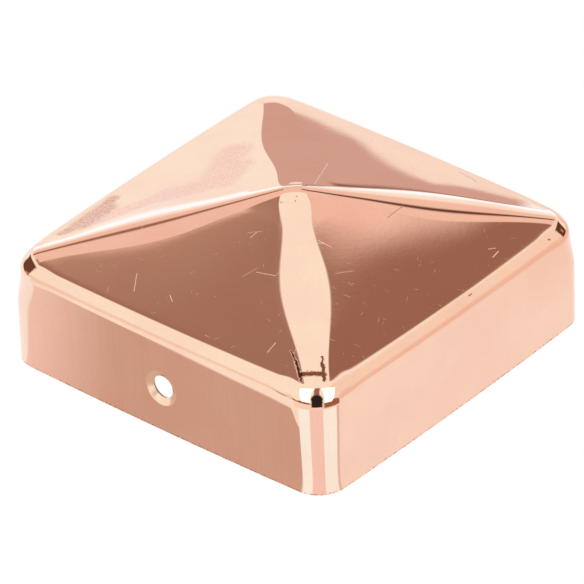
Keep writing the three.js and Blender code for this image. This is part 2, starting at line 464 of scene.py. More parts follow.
def make_piece(name, points, faces, marks):
    """A mesh object at the origin, in metres. Faces whose last two corners are the same point are
    triangles. Points that no face uses are left out first."""
    used, compact = np.unique(faces, return_inverse=True)
    faces = compact.reshape(faces.shape)
    points = points[used]
    corners = [f[:3] if f[2] == f[3] else f for f in faces.tolist()]
    corners = [f[1:] if f[0] == f[1] else f for f in corners]
    mesh = bpy.data.meshes.new(name)
    mesh.from_pydata((points / 1000).tolist(), [], corners)
    mesh.polygons.foreach_set("material_index", marks)
    mesh.polygons.foreach_set("use_smooth", np.ones(len(marks), bool))
    corner_points = np.empty(len(mesh.loops), int)
    mesh.loops.foreach_get("vertex_index", corner_points)
    layer = mesh.uv_layers.new(name="blank")
    layer.data.foreach_set("uv", blank_map(points)[corner_points].ravel())
    mesh.set_sharp_from_angle(angle=np.radians(40))
    mesh.update()
    piece = bpy.data.objects.new(name, mesh)
    bpy.context.scene.collection.objects.link(piece)
    return piece


cap = make_piece("copper_sheet", points, faces, marks)
print("triangles:", sum(len(p.vertices) - 2 for p in cap.data.polygons))

# %% [markdown]
# ## Polished copper
# Bare copper is a mirror with its own colour: it returns nearly all the red light, two thirds of
# the green and half of the blue. What makes it believable is what spoils the mirror: hairline
# scratches in all directions, pits and specks, a slight orange peel from the drawing, and bands
# of finer and coarser polish. Each of these is a node group that puts out a mask, so that the
# outside, the inside and the cut edge can all use them, each in its own measure.


# %% Small helpers for node trees
def calc(tree, operation, *values, clamp=False):
    """One sum in a node tree. A value may be a number or another node's output."""
    node = tree.nodes.new("ShaderNodeMath")
    node.operation = operation
    node.use_clamp = clamp
    for socket, value in zip(node.inputs, values):
        if isinstance(value, bpy.types.NodeSocket):
            tree.links.new(value, socket)
        else:
            socket.default_value = value
    return node.outputs[0]


def length(tree, first, second):
    """Length of the long side of a right triangle: the root of the sum of two squares."""
    squares = [calc(tree, "MULTIPLY", side, side) for side in (first, second)]
    return calc(tree, "SQRT", calc(tree, "ADD", *squares))


def ramp(tree, value, start, end, low=0.0, high=1.0):
    """Smooth step of a value, from low at start to high at end."""
    node = tree.nodes.new("ShaderNodeMapRange")
    node.interpolation_type = "SMOOTHSTEP"
    for name, given in (
        ("Value", value),
        ("From Min", start),
        ("From Max", end),
        ("To Min", low),
        ("To Max", high),
    ):
        if isinstance(given, bpy.types.NodeSocket):
            tree.links.new(given, node.inputs[name])
        else:
            node.inputs[name].default_value = given
    return node.outputs["Result"]


def blend(tree, share, first, second):
    """Colour between two, by a share from 0 to 1."""
    node = tree.nodes.new("ShaderNodeMix")
    node.data_type = "RGBA"
    for socket, value in ((node.inputs[0], share), (node.inputs[6], first), (node.inputs[7], second)):
        if isinstance(value, bpy.types.NodeSocket):
            tree.links.new(value, socket)
        else:
            socket.default_value = value if isinstance(value, float) else (*value, 1)
    return node.outputs[2]


def new_group(name, inputs, output="Mask"):
    """A node group with the given inputs, as (name, kind, value), and one output."""
    group = bpy.data.node_groups.new(name, "ShaderNodeTree")
    for label, kind, value in inputs:
        socket = group.interface.new_socket(label, in_out="INPUT", socket_type="NodeSocket" + kind)
        if value is not None:
            socket.default_value = value
    group.interface.new_socket(output, in_out="OUTPUT", socket_type="NodeSocketFloat")
    return group, group.nodes.new("NodeGroupInput").outputs, group.nodes.new("NodeGroupOutput").inputs


def use_group(tree, group, **values):
    """The group placed in a tree, with its inputs given by name, underscores for spaces."""
    node = tree.nodes.new("ShaderNodeGroup")
    node.node_tree = group
    for label, value in values.items():
        socket = node.inputs[label.replace("_", " ")]
        if isinstance(value, bpy.types.NodeSocket):
            tree.links.new(value, socket)
        else:
            socket.default_value = value
    return node.outputs[0]


# %% Hairline scratches
def hairline_group():
    """Each cell of a scatter holds one short stroke through its centre, in a direction of its own
    and slightly curved. The mask is high close to the stroke and within its length."""
    group, given, out = new_group(
        "hairline scratches",
        [
            ("Vector", "Vector", None),
            ("Cell", "Float", 4.0),
            ("Width", "Float", 0.05),
            ("Length", "Float", 0.4),
            ("Share", "Float", 0.5),
        ],
    )
    cells = group.nodes.new("ShaderNodeTexVoronoi")
    cells.voronoi_dimensions = "2D"
    group.links.new(given["Vector"], cells.inputs["Vector"])
    group.links.new(calc(group, "DIVIDE", 1.0, given["Cell"]), cells.inputs["Scale"])
    offset = group.nodes.new("ShaderNodeVectorMath")
    offset.operation = "SUBTRACT"
    group.links.new(given["Vector"], offset.inputs[0])
    group.links.new(cells.outputs["Position"], offset.inputs[1])
    xyz = group.nodes.new("ShaderNodeSeparateXYZ")
    group.links.new(offset.outputs[0], xyz.inputs[0])
    chance = group.nodes.new("ShaderNodeSeparateColor")
    group.links.new(cells.outputs["Color"], chance.inputs[0])
    angle = calc(group, "MULTIPLY", chance.outputs[0], 2 * math.pi)
    c, s = calc(group, "COSINE", angle), calc(group, "SINE", angle)
    along = calc(
        group,
        "ADD",
        calc(group, "MULTIPLY", xyz.outputs[0], c),
        calc(group, "MULTIPLY", xyz.outputs[1], s),
    )
    across = calc(
        group,
        "SUBTRACT",
        calc(group, "MULTIPLY", xyz.outputs[1], c),
        calc(group, "MULTIPLY", xyz.outputs[0], s),
    )
    bend = calc(group, "MULTIPLY", calc(group, "MULTIPLY", along, along), 0.012)
    distance = calc(group, "ABSOLUTE", calc(group, "ADD", across, bend))
    near = ramp(group, distance, calc(group, "MULTIPLY", given["Width"], 0.2), given["Width"], 1.0, 0.0)
    reach = calc(
        group,
        "MULTIPLY",
        calc(group, "MULTIPLY", given["Cell"], given["Length"]),
        calc(group, "ADD", chance.outputs[1], 0.3),
    )
    within = ramp(
        group, calc(group, "ABSOLUTE", along), calc(group, "MULTIPLY", reach, 0.5), reach, 1.0, 0.0
    )
    chosen = calc(group, "LESS_THAN", chance.outputs[2], given["Share"])
    mask = calc(group, "MULTIPLY", calc(group, "MULTIPLY", near, within), chosen)
    group.links.new(mask, out["Mask"])
    return group


# %% Pits and specks
def speck_group():
    """Small round spots: one in each chosen cell of a scatter, with a radius of its own."""
    group, given, out = new_group(
        "specks",
        [
            ("Vector", "Vector", None),
            ("Cell", "Float", 3.0),
            ("Radius", "Float", 0.1),
            ("Share", "Float", 0.3),
        ],
    )
    cells = group.nodes.new("ShaderNodeTexVoronoi")
    cells.voronoi_dimensions = "3D"
    group.links.new(given["Vector"], cells.inputs["Vector"])
    group.links.new(calc(group, "DIVIDE", 1.0, given["Cell"]), cells.inputs["Scale"])
    chance = group.nodes.new("ShaderNodeSeparateColor")
    group.links.new(cells.outputs["Color"], chance.inputs[0])
    distance = calc(group, "MULTIPLY", cells.outputs["Distance"], given["Cell"])
    radius = calc(group, "MULTIPLY", given["Radius"], calc(group, "ADD", chance.outputs[0], 0.3))
    spot = ramp(group, distance, calc(group, "MULTIPLY", radius, 0.4), radius, 1.0, 0.0)
    chosen = calc(group, "LESS_THAN", chance.outputs[1], given["Share"])
    group.links.new(calc(group, "MULTIPLY", spot, chosen), out["Mask"])
    return group


# %% One straight mark
def stroke_group():
    """A straight mark between two points of a plane: the mask is high within its width."""
    labels = ["Along", "Across", "From Along", "From Across", "To Along", "To Across", "Width"]
    group, given, out = new_group("stroke", [(label, "Float", 0.0) for label in labels])
    run_a = calc(group, "SUBTRACT", given["To Along"], given["From Along"])
    run_c = calc(group, "SUBTRACT", given["To Across"], given["From Across"])
    at_a = calc(group, "SUBTRACT", given["Along"], given["From Along"])
    at_c = calc(group, "SUBTRACT", given["Across"], given["From Across"])
    squared = calc(
        group, "ADD", calc(group, "MULTIPLY", run_a, run_a), calc(group, "MULTIPLY", run_c, run_c)
    )
    dot = calc(group, "ADD", calc(group, "MULTIPLY", at_a, run_a), calc(group, "MULTIPLY", at_c, run_c))
    share = calc(group, "DIVIDE", dot, squared, clamp=True)
    off_a = calc(group, "SUBTRACT", at_a, calc(group, "MULTIPLY", run_a, share))
    off_c = calc(group, "SUBTRACT", at_c, calc(group, "MULTIPLY", run_c, share))
    distance = length(group, off_a, off_c)
    inner = calc(group, "MULTIPLY", given["Width"], 0.4)
    group.links.new(ramp(group, distance, inner, given["Width"], 1.0, 0.0), out["Mask"])
    return group


# %% Lines of the polishing mop
def mop_line_group():
    """Fine parallel lines left by polishing: noise that changes fast across them and slowly
    along. The vector's first part runs across the lines."""
    group, given, out = new_group(
        "mop lines", [("Vector", "Vector", None), ("Fineness", "Float", 4.0)]
    )
    stretch = group.nodes.new("ShaderNodeVectorMath")
    stretch.operation = "MULTIPLY"
    stretch.inputs[1].default_value = (1.0, 0.02, 0.02)
    group.links.new(given["Vector"], stretch.inputs[0])
    noise = group.nodes.new("ShaderNodeTexNoise")
    noise.inputs["Detail"].default_value = 3.0
    group.links.new(stretch.outputs[0], noise.inputs["Vector"])
    group.links.new(given["Fineness"], noise.inputs["Scale"])
    group.links.new(noise.outputs["Fac"], out["Mask"])
    return group


hairlines, specks = hairline_group(), speck_group()
mop_lines, stroke = mop_line_group(), stroke_group()
print("groups:", [g.name for g in bpy.data.node_groups])

# %% [markdown]
# ## Marks of this pressing
# Every pressing has marks of its own. Here the die has creased the sheet where it gathers above
# the front corner, and handling has left single scratches, hazy strokes, a brown stain above the
# left eave and burr along the cut rim. They could be painted on an image. Instead each is a few
# straight strokes, given by their ends in millimetres, and noise ravels their edges, so that they
# stay sharp at any distance. Besides its dent, each crease is darkened in colour: a painted shade
# for the dark lines that the bent metal reflects there.

# %% The creases and scratches
# The creases are dents; the material also darkens them, a painted shade for the dark lines that the
# bent metal reflects.
# from along, from across, to along, to across, half width, with along running down the front hip
CREASES_AND_PAINTED_SHADE = [
    (43.1, -2.4, 43.6, 1.3, 0.75),
    (39.6, 1.45, 41.6, 1.2, 0.3),
    (41.4, 1.35, 45.0, 1.25, 0.42),
    (37.4, -3.7, 40.3, -3.0, 0.22),
    (39.9, -3.1, 44.4, -2.6, 0.36),
]
# from x, from y, to x, to y, half width, in plan on the faces
BRIGHT_SCRATCHES = [
    (-4.3, 14.4, 1.2, 4.4, 0.09),
    (11.1, -6.5, 13.5, -5.9, 0.11),
    (9.9, -8.4, 12.1, -6.4, 0.09),
    (32.1, 15.1, 31.8, 17.0, 0.12),
    (30.4, 16.0, 31.0, 17.2, 0.09),
    (-9.9, -31.0, -12.1, -27.7, 0.1),
    (-3.5, -28.9, -2.2, -29.8, 0.1),
    (0.9, -12.5, 1.1, -10.9, 0.08),
    (6.9, -18.1, 10.5, -17.2, 0.07),
    (20.3, -31.1, 20.2, -28.8, 0.1),
]
DARK_SCRATCHES = [
    (14.9, 7.6, 14.6, 12.1, 0.09),
    (35.3, 4.5, 35.3, 5.3, 0.16),
    (35.1, 26.7, 35.2, 27.0, 0.2),
    (10.1, 33.0, 13.4, 32.6, 0.07),
    (13.4, 32.6, 14.8, 31.9, 0.07),
    (1.8, -1.2, 1.9, -1.1, 0.14),
    (2.3, -2.1, 2.4, -2.2, 0.16),
    (0.4, -3.8, 0.7, -3.7, 0.12),
]
print("creases:", len(CREASES_AND_PAINTED_SHADE), "scratches:", len(BRIGHT_SCRATCHES) + len(DARK_SCRATCHES))

# %% The haze and the stain
# the same, in plan on the left face
HAZE = [
    (-29.0, -18.5, -23.0, -8.0, 2.8),
    (-23.0, -8.0, -16.0, -1.0, 4.2),
    (-18.0, 0.0, -22.5, 10.5, 4.6),
    (-14.5, -1.5, -17.0, 6.0, 3.2),
]
STAIN = [
    (-32.2, -24.3, -31.2, -20.0, 1.7),
    (-31.1, -20.5, -31.3, -14.5, 3.2),
    (-31.8, -15.0, -32.7, -10.8, 1.8),
]
print("strokes of haze:", len(HAZE), "and of stain:", len(STAIN))


# %% Strokes and marks as masks
def lay_strokes(tree, along, across, strokes):
    """The strongest of a list of strokes at each place."""
    total = 0.0
    for from_a, from_c, to_a, to_c, width in strokes:
        mask = use_group(
            tree,
            stroke,
            Along=along,
            Across=across,
            From_Along=from_a,
            From_Across=from_c,
            To_Along=to_a,
            To_Across=to_c,
            Width=width,
        )
        total = mask if total == 0.0 else calc(tree, "MAXIMUM", total, mask)
    return total


def marks_of_this_pressing(tree, mm, grain, fine):
    """Masks in the part's own coordinates: creases above the front corner, used for a dent and for a
    painted shade, bright and dark scratches, haze and a brown stain on the left face, burr along the
    rim, and the dimples round the holes, used for more roughness and for a painted highlight. Grain
    and fine, two noises, ravel their edges."""
    xyz = tree.nodes.new("ShaderNodeSeparateXYZ")
    tree.links.new(mm, xyz.inputs[0])
    x, y, z = xyz.outputs
    shake = calc(tree, "MULTIPLY", calc(tree, "SUBTRACT", grain, 0.5), 0.9)
    along = calc(tree, "MULTIPLY", calc(tree, "SUBTRACT", x, y), math.sqrt(0.5))
    across = calc(tree, "MULTIPLY", calc(tree, "ADD", x, y), math.sqrt(0.5))
    ragged = calc(tree, "ADD", along, shake), calc(tree, "ADD", across, shake)
    on_roof = ramp(tree, z, 19.0, 19.6)
    # a dent in the bump, and a painted shade in the colour
    creases_and_painted_shade = calc(tree, "MULTIPLY", lay_strokes(tree, *ragged, CREASES_AND_PAINTED_SHADE), on_roof)
    bright = calc(tree, "MULTIPLY", lay_strokes(tree, x, y, BRIGHT_SCRATCHES), on_roof)
    above_skirt = ramp(tree, z, 17.3, 17.8)
    dark = calc(tree, "MULTIPLY", lay_strokes(tree, x, y, DARK_SCRATCHES), above_skirt)
    torn = ramp(tree, fine, 0.44, 0.56, 0.1, 1.0)
    left = ramp(tree, calc(tree, "ADD", x, calc(tree, "ABSOLUTE", y)), -6.2, -7.4)
    left = calc(tree, "MULTIPLY", calc(tree, "MULTIPLY", left, on_roof), torn)
    haze = calc(tree, "MULTIPLY", lay_strokes(tree, x, y, HAZE), left)
    stain = calc(tree, "MULTIPLY", lay_strokes(tree, x, y, STAIN), left)
    burr = calc(tree, "MULTIPLY", ramp(tree, z, 0.12, 0.4, 1.0, 0.0), ramp(tree, grain, 0.45, 0.6))
    shift = calc(tree, "MULTIPLY", calc(tree, "SIGN", y), -HOLE_SHIFT)
    off_axis = length(tree, calc(tree, "SUBTRACT", x, shift), calc(tree, "SUBTRACT", z, HOLE_Z))
    on_skirt = ramp(tree, calc(tree, "ABSOLUTE", y), 33.0, 34.0)
    near_hole = ramp(tree, off_axis, DIMPLE_RADIUS + 0.05, DIMPLE_RADIUS - 0.1)
    # more roughness, and a paler colour that is a painted highlight
    dimple_and_painted_highlight = calc(tree, "MULTIPLY", near_hole, on_skirt)
    return creases_and_painted_shade, bright, dark, haze, stain, burr, dimple_and_painted_highlight


# %% [markdown]
# ## The copper itself
# Three finishes of one metal meet on the sheet: the polished outside, the dull inside as it came
# from the rolls, and the sheared edge. One function makes all three, from a colour, a roughness
# and how far each is worn and stained. Colour carries what changes the metal's own tint, and on the
# outside also a painted shade in the creases and a painted highlight on the dimples; roughness
# carries what blurs the mirror, and a very shallow bump carries what tilts it.


# %% Places, noises and colours
def places_in_mm(tree):
    """Two vectors in millimetres: a point's place on the cap, and its place on the flat blank."""
    place = tree.nodes.new("ShaderNodeTexCoord")
    uv = tree.nodes.new("ShaderNodeUVMap")
    uv.uv_map = "blank"
    vectors = []
    for source, scale in ((place.outputs["Object"], 1000.0), (uv.outputs[0], 100.0)):
        node = tree.nodes.new("ShaderNodeVectorMath")
        node.operation = "SCALE"
        node.inputs["Scale"].default_value = scale
        tree.links.new(source, node.inputs[0])
        vectors.append(node.outputs[0])
    return vectors


def noise(tree, vector, scale, detail):
    """Smooth noise between 0 and 1, with scale waves to the millimetre."""
    node = tree.nodes.new("ShaderNodeTexNoise")
    node.inputs["Scale"].default_value = scale
    node.inputs["Detail"].default_value = detail
    tree.links.new(vector, node.inputs["Vector"])
    return node.outputs["Fac"]


def scaled(colour, *factors):
    """A colour with each part multiplied."""
    return tuple(v * f for v, f in zip(colour, factors))


def tint_marks(tree, base, colour, masks):
    """The base colour with haze, stain and burr laid over it, darkened in the creases as a painted
    shade, and made paler on the dimples as a painted highlight.
    """
    creases_and_painted_shade, _, _, haze, blot, burr, dimple_and_painted_highlight = masks
    for mask, factors in (
        (haze, (0.9, 0.62, 0.61)),
        (blot, (0.62, 0.31, 0.31)),
        (burr, (0.62, 0.36, 0.22)),
        # painted shade: the creases darkened for the dark lines that the bent metal reflects
        (creases_and_painted_shade, (0.22, 0.09, 0.07)),
        # painted highlight: the dimples made paler
        (dimple_and_painted_highlight, (1.05, 1.14, 1.12)),
    ):
        base = blend(tree, mask, base, scaled(colour, *factors))
    return base


# %% The copper material
def copper(name, colour, roughness, wear, stain, marked=False):
    """Polished copper: a metal whose colour drifts slightly, with mop lines on the skirts,
    scratches, dust and orange peel in proportion to wear, pits, and darker oxide in proportion to
    stain. With marked it also has the marks of this pressing, among them a painted shade in the
    creases and a painted highlight on the dimples."""
    material = bpy.data.materials.new(name)
    material.use_nodes = True
    tree = material.node_tree
    shader = tree.nodes["Principled BSDF"]
    shader.inputs["Metallic"].default_value = 1.0
    mm, blank = places_in_mm(tree)
    parts = tree.nodes.new("ShaderNodeSeparateXYZ")
    tree.links.new(mm, parts.inputs[0])
    height = parts.outputs[2]
    drift, peel = noise(tree, mm, 0.09, 5.0), noise(tree, mm, 1.1, 2.0)
    grain, fine = noise(tree, mm, 2.6, 3.0), noise(tree, mm, 6.0, 2.0)

    on_blank = {"Vector": blank, "Width": 0.03}
    long_lines = use_group(tree, hairlines, **on_blank, Cell=9.0, Length=0.2, Share=0.14)
    short_lines = use_group(tree, hairlines, **on_blank, Cell=2.6, Length=0.25, Share=0.25)
    dust = use_group(tree, specks, Vector=mm, Cell=1.2, Radius=0.08, Share=0.4)
    pits = use_group(tree, specks, Vector=mm, Cell=6.0, Radius=0.17, Share=0.35)
    lines = use_group(tree, mop_lines, Vector=mm, Fineness=2.4)
    faint = calc(tree, "MULTIPLY", short_lines, 0.45)
    patchy = ramp(tree, peel, 0.3, 0.6, 0.4, 1.0)
    scratch = calc(tree, "MULTIPLY", calc(tree, "MAXIMUM", long_lines, faint), patchy)

    dark = scaled(colour, 0.45, 0.34, 0.3)
    base = blend(tree, ramp(tree, drift, 0.35, 0.7), colour, scaled(colour, 0.985, 0.93, 0.95))
    darker = ramp(tree, grain, 0.4, 0.75, 0.0, 0.35 * wear)
    base = blend(tree, darker, base, scaled(colour, 0.9, 0.84, 0.82))
    paler = ramp(tree, fine, 0.52, 0.68, 0.0, 0.35 * wear)
    base = blend(tree, paler, base, scaled(colour, 1.03, 1.1, 1.18))
    upright = ramp(tree, height, 17.0, 17.8, 1.0, 0.0)
    brushed = calc(tree, "MULTIPLY", ramp(tree, lines, 0.4, 0.7, 0.0, 0.4), upright)
    base = blend(tree, brushed, base, scaled(colour, 0.93, 0.9, 0.9))
    stained = calc(tree, "MAXIMUM", pits, ramp(tree, drift, 0.5, 0.75, 0.0, stain))
    blur = calc(tree, "MAXIMUM", scratch, calc(tree, "MULTIPLY", dust, 0.8))
    relief = calc(tree, "MULTIPLY", peel, 0.1)
    if marked:
        masks = marks_of_this_pressing(tree, mm, grain, fine)
        creases_and_painted_shade, bright, gouged, haze, _, _, dimple_and_painted_highlight = masks
        base = tint_marks(tree, base, colour, masks)
        stained = calc(tree, "MAXIMUM", stained, gouged)
        blur = calc(tree, "MAXIMUM", blur, bright)
        blur = calc(tree, "MAXIMUM", blur, calc(tree, "MULTIPLY", dimple_and_painted_highlight, 0.7))
        relief = calc(tree, "SUBTRACT", relief, calc(tree, "MULTIPLY", creases_and_painted_shade, 3.0))
        rubbed = calc(tree, "MULTIPLY", calc(tree, "MULTIPLY", haze, grain), 1.2)
        relief = calc(tree, "ADD", relief, rubbed)
    base = blend(tree, stained, base, dark)
    tree.links.new(base, shader.inputs["Base Color"])

    rough = ramp(tree, drift, 0.3, 0.75, roughness * 0.7, roughness * 1.5)
    rough = calc(tree, "ADD", rough, calc(tree, "MULTIPLY", blur, 0.3 * wear))
    rough = calc(tree, "ADD", rough, calc(tree, "MULTIPLY", stained, 0.3), clamp=True)
    tree.links.new(rough, shader.inputs["Roughness"])

    relief = calc(tree, "SUBTRACT", relief, calc(tree, "MULTIPLY", scratch, 0.5))
    relief = calc(tree, "SUBTRACT", relief, stained)
    bump = tree.nodes.new("ShaderNodeBump")
    bump.inputs["Strength"].default_value = 1.0
    bump.inputs["Distance"].default_value = 0.000004 * wear
    tree.links.new(relief, bump.inputs["Height"])
    tree.links.new(bump.outputs[0], shader.inputs["Normal"])
    return material


polished = copper("polished copper", (0.955, 0.70, 0.53), 0.022, 1.0, 0.0, marked=True)
inside = copper("copper inside", (0.90, 0.60, 0.45), 0.25, 1.6, 0.35)
edge = copper("sheared edge", (0.86, 0.52, 0.38), 0.35, 2.0, 0.5)
for material in (polished, inside, edge):
    cap.data.materials.append(material)
print("materials:", [m.name for m in cap.data.materials])

# %% [markdown]
# ## Floor, tent and camera
# The cap stands on white paper in a light tent. To the camera, paper and tent are plain white. In
# the metal they aren't: the tent has darker openings, and those are the brown shapes on the faces.
# They could be planes hung around the object; here they are soft-edged cards painted on the sky,
# because a sky has no noise and its edges can be as soft as wanted. Each card is given as it would
# be on a chart of the sky seen from below: right and away from the camera, in degrees from overhead.

# %% Cards on the chart of the sky
SHOT_AZIMUTH = float(np.radians(41.497))
SHOT_RISE = float(np.radians(33.854))
SHOT_ROLL = float(np.radians(-2.256))


def card_group():
    """Mask of a card with rounded, soft edges: the distance to a turned rectangle, in degrees."""
    labels = ["Right", "Away", "Centre Right", "Centre Away", "Half Right", "Half Away", "Turn"]
    labels += ["Soft", "Round"]
    group, given, out = new_group("card", [(label, "Float", 0.0) for label in labels])
    u0 = calc(group, "SUBTRACT", given["Right"], given["Centre Right"])
    v0 = calc(group, "SUBTRACT", given["Away"], given["Centre Away"])
    turn = calc(group, "RADIANS", given["Turn"])
    c, s = calc(group, "COSINE", turn), calc(group, "SINE", turn)
    u = calc(group, "ADD", calc(group, "MULTIPLY", u0, c), calc(group, "MULTIPLY", v0, s))
    v = calc(group, "SUBTRACT", calc(group, "MULTIPLY", v0, c), calc(group, "MULTIPLY", u0, s))
    du = calc(group, "SUBTRACT", calc(group, "ABSOLUTE", u), given["Half Right"])
    dv = calc(group, "SUBTRACT", calc(group, "ABSOLUTE", v), given["Half Away"])
    outside = length(group, calc(group, "MAXIMUM", du, 0.0), calc(group, "MAXIMUM", dv, 0.0))
    inner = calc(group, "MINIMUM", calc(group, "MAXIMUM", du, dv), 0.0)
    distance = calc(group, "SUBTRACT", calc(group, "ADD", outside, inner), given["Round"])
    half = calc(group, "MULTIPLY", given["Soft"], 0.5)
    mask = ramp(group, distance, calc(group, "MULTIPLY", half, -1.0), half, 1.0, 0.0)
    group.links.new(mask, out["Mask"])
    return group


card = card_group()
print("group:", card.name)


def lay_cards(tree, first, second, tone, cards):
    """Colour of a chart: every card laid over the tone in turn."""
    for cu, cv, hu, hv, turn, soft, rounding, colour in cards.values():
        mask = use_group(
            tree,
            card,
            Right=first,
            Away=second,
            Centre_Right=cu,
            Centre_Away=cv,
            Half_Right=hu,
            Half_Away=hv,
            Turn=turn,
            Soft=soft,
            Round=rounding,
        )
        tone = blend(tree, mask, tone, colour)
    return tone


# %% The tent's cards
TENT = (1.03, 1.04, 1.025)
# centre right, centre away, half right, half away, turn, softness, rounding, colour
CARDS = {
    "back wall": (0, 52, 26, 13, 0, 4, 0, (0.94, 0.71, 0.66)),
    "middle wall": (-1, 70, 10, 9, 0, 2, 0, (0.82, 0.68, 0.64)),
    "middle light": (1, 71, 12, 3.4, 0, 2, 0, (1.06, 1.25, 1.4)),
    "strip left": (-17, 75.5, 9, 6.0, 0, 4.5, 0, (1.08, 1.38, 1.7)),
    "strip right": (18.5, 77.5, 7.5, 5.5, 0, 6, 0, (1.08, 1.38, 1.7)),
    "horizon left": (-14, 84.9, 25, 5.3, 0, 0.4, 0, (1.02, 1.02, 1.01)),
    "leg": (10.8, 76, 2.7, 8, 0, 0.8, 0, (0.63, 0.43, 0.39)),
    "leg shadow": (13.2, 73, 0.8, 3.0, 0, 0.8, 0, (0.2, 0.09, 0.06)),
    "table": (3, 82.0, 11.6, 3.2, 0, 0.6, 0, (0.67, 0.457, 0.425)),
    "far paper": (3, 91.95, 60, 7.0, 0, 0.3, 0, (1.0, 0.94, 0.92)),
    "far paper right": (14.40, 86.45, 1.2, 3.0, -45, 0.3, 0, (1.0, 0.93, 0.91)),
    "far paper edge": (15.4, 85.85, 2.6, 2.0, 0, 0.3, 0, (1.0, 0.93, 0.91)),
    "hip line": (13, 82.0, 2.6, 0.5, 0, 0.6, 0, (0.25, 0.13, 0.12)),
    "opening left": (-20.2, 36, 5.0, 8, 0, 2.0, 0, (0.375, 0.215, 0.175)),
    "opening left, upper": (-20.2, 37.5, 5.0, 5, 0, 3.6, 0, (0.49, 0.31, 0.26)),
    "peach light left": (-18.4, 39.7, 3.6, 5.9, 0, 0.9, 0, (0.93, 0.70, 0.65)),
    "veil right": (21, 40, 4, 3.5, 0, 1.5, 0, (0.94, 0.71, 0.66)),
    "opening right": (20.6, 35.2, 3.4, 3.0, 0, 2.2, 0, (0.34, 0.175, 0.135)),
    "peach light": (17.5, 37.3, 0, 0, 0, 0.8, 2.55, (0.95, 0.71, 0.66)),
    "veil left": (-18.2, 50, 6, 6.5, 0, 5, 0, (0.93, 0.70, 0.66)),
    "pole left": (-18, 57.3, 8, 1.7, 0, 2.6, 0, (0.34, 0.16, 0.12)),
    "pole right": (18, 53.6, 8, 1.9, 0, 3.2, 0, (0.13, 0.045, 0.03)),
    "left skirting": (-50, -72, 4, 26, 55, 3, 0, (0.3, 0.12, 0.08)),
    "right skirting": (66, -64, 12, 20, -46, 5, 0, (0.36, 0.15, 0.09)),
    "left end": (-84, -20, 10, 55, 0, 14, 0, (0.97, 0.83, 0.76)),
    "right wall": (66, 8, 40, 50, 0, 10, 0, (0.99, 0.87, 0.81)),
    "right end": (110, 0, 35, 60, 0, 16, 0, (0.93, 0.69, 0.61)),
    "left corner": (-72, 46, 33, 24, 0, 6, 0, (0.16, 0.07, 0.05)),
    "left glint": (-78, 34, 6, 8, 0, 8, 0, (0.8, 0.33, 0.14)),
    "right corner": (73, 43, 32, 15, 0, 6, 0, (0.13, 0.05, 0.04)),
    "right glint": (62, 43, 4, 3, 0, 6, 0, (0.8, 0.33, 0.14)),
    "boom": (2, -28, 7.5, 20, 0, 4, 0, (0.36, 0.18, 0.14)),
    "boom head": (-3, -11, 8, 5, 0, 6, 0, (0.6, 0.4, 0.36)),
    "boom clamp": (2, -11, 4, 6, 0, 4, 0, (0.25, 0.1, 0.08)),
    "soft box left": (-28, -39, 15, 35, -19, 4, 0, (2.2, 2.2, 2.2)),
    "soft box right": (36, -41, 15, 35, 18, 4, 0, (2.2, 2.2, 2.2)),
    "dark stand": (2, -72, 2, 8, 0, 6, 17, (0.03, 0.02, 0.02)),
    "foot of the stand": (3, -92, 5, 4, 0, 6, 19, (0.03, 0.02, 0.02)),
}
print("cards on the sky:", len(CARDS))


# %% The tent
def make_tent():
    """The sky: every card laid over the pale tent in turn. Camera rays see plain white."""
    world = bpy.data.worlds.new("light tent")
    bpy.context.scene.world = world
    world.use_nodes = True
    tree = world.node_tree
    background = tree.nodes["Background"]
    place = tree.nodes.new("ShaderNodeTexCoord")
    xyz = tree.nodes.new("ShaderNodeSeparateXYZ")
    tree.links.new(place.outputs["Generated"], xyz.inputs[0])
    x, y, z = xyz.outputs
    c, s = float(np.cos(SHOT_AZIMUTH)), float(np.sin(SHOT_AZIMUTH))
    right = calc(tree, "ADD", calc(tree, "MULTIPLY", x, c), calc(tree, "MULTIPLY", y, s))
    away = calc(tree, "SUBTRACT", calc(tree, "MULTIPLY", y, c), calc(tree, "MULTIPLY", x, s))
    overhead = calc(tree, "DEGREES", calc(tree, "ARCCOSINE", calc(tree, "MINIMUM", z, 0.99999)))
    level = length(tree, right, away)
    stretch = calc(tree, "DIVIDE", overhead, calc(tree, "MAXIMUM", level, 1e-5))
    chart_right = calc(tree, "MULTIPLY", right, stretch)
    chart_away = calc(tree, "MULTIPLY", away, stretch)
    light = lay_cards(tree, chart_right, chart_away, TENT, CARDS)
    path = tree.nodes.new("ShaderNodeLightPath")
    light = blend(tree, path.outputs["Is Camera Ray"], light, (1.0, 1.0, 1.0))
    tree.links.new(light, background.inputs["Color"])


make_tent()
print("world:", bpy.context.scene.world.name)

# %% [markdown]
# ## The paper
# The skirts stand upright, so what they show is the paper in front of them: pale to the left,
# shaded to the right, and striped in the tight bend of the front corner. Real shadows would need
# real things around the cap. The paper glows instead, with the shades laid on it as cards are
# laid on the sky, in millimetres on the floor or measured from the front corner.

# %% The shades on the paper
FLOOR_TONE = (1.0, 0.98, 0.98)
# centre x, centre y, half, half, turn, softness, rounding, colour, in millimetres
FLOOR_CARDS = {
    "pink shade": (63.1, -55.9, 85, 300, -41.5, 1.2, 0, (0.94, 0.77, 0.77)),
    "dim side": (69.3, -61.3, 85, 300, -41.5, 20, 0, (0.65, 0.46, 0.41)),
    "left light": (-76.7, 67.9, 100, 300, -41.5, 1.4, 0, (1.02, 1.06, 1.12)),
    "light beyond": (0, -469, 600, 413, 1.5, 0.9, 0, (1.03, 1.0, 1.0)),
}
print("wide cards on the paper:", len(FLOOR_CARDS))

# %% The stripes in the front corner
FRONT_CORNER = (29.8, -29.8)  # middle of the front corner's rounding
FRONT_RADIUS = 6.0  # its radius, between the upright's and the ball's


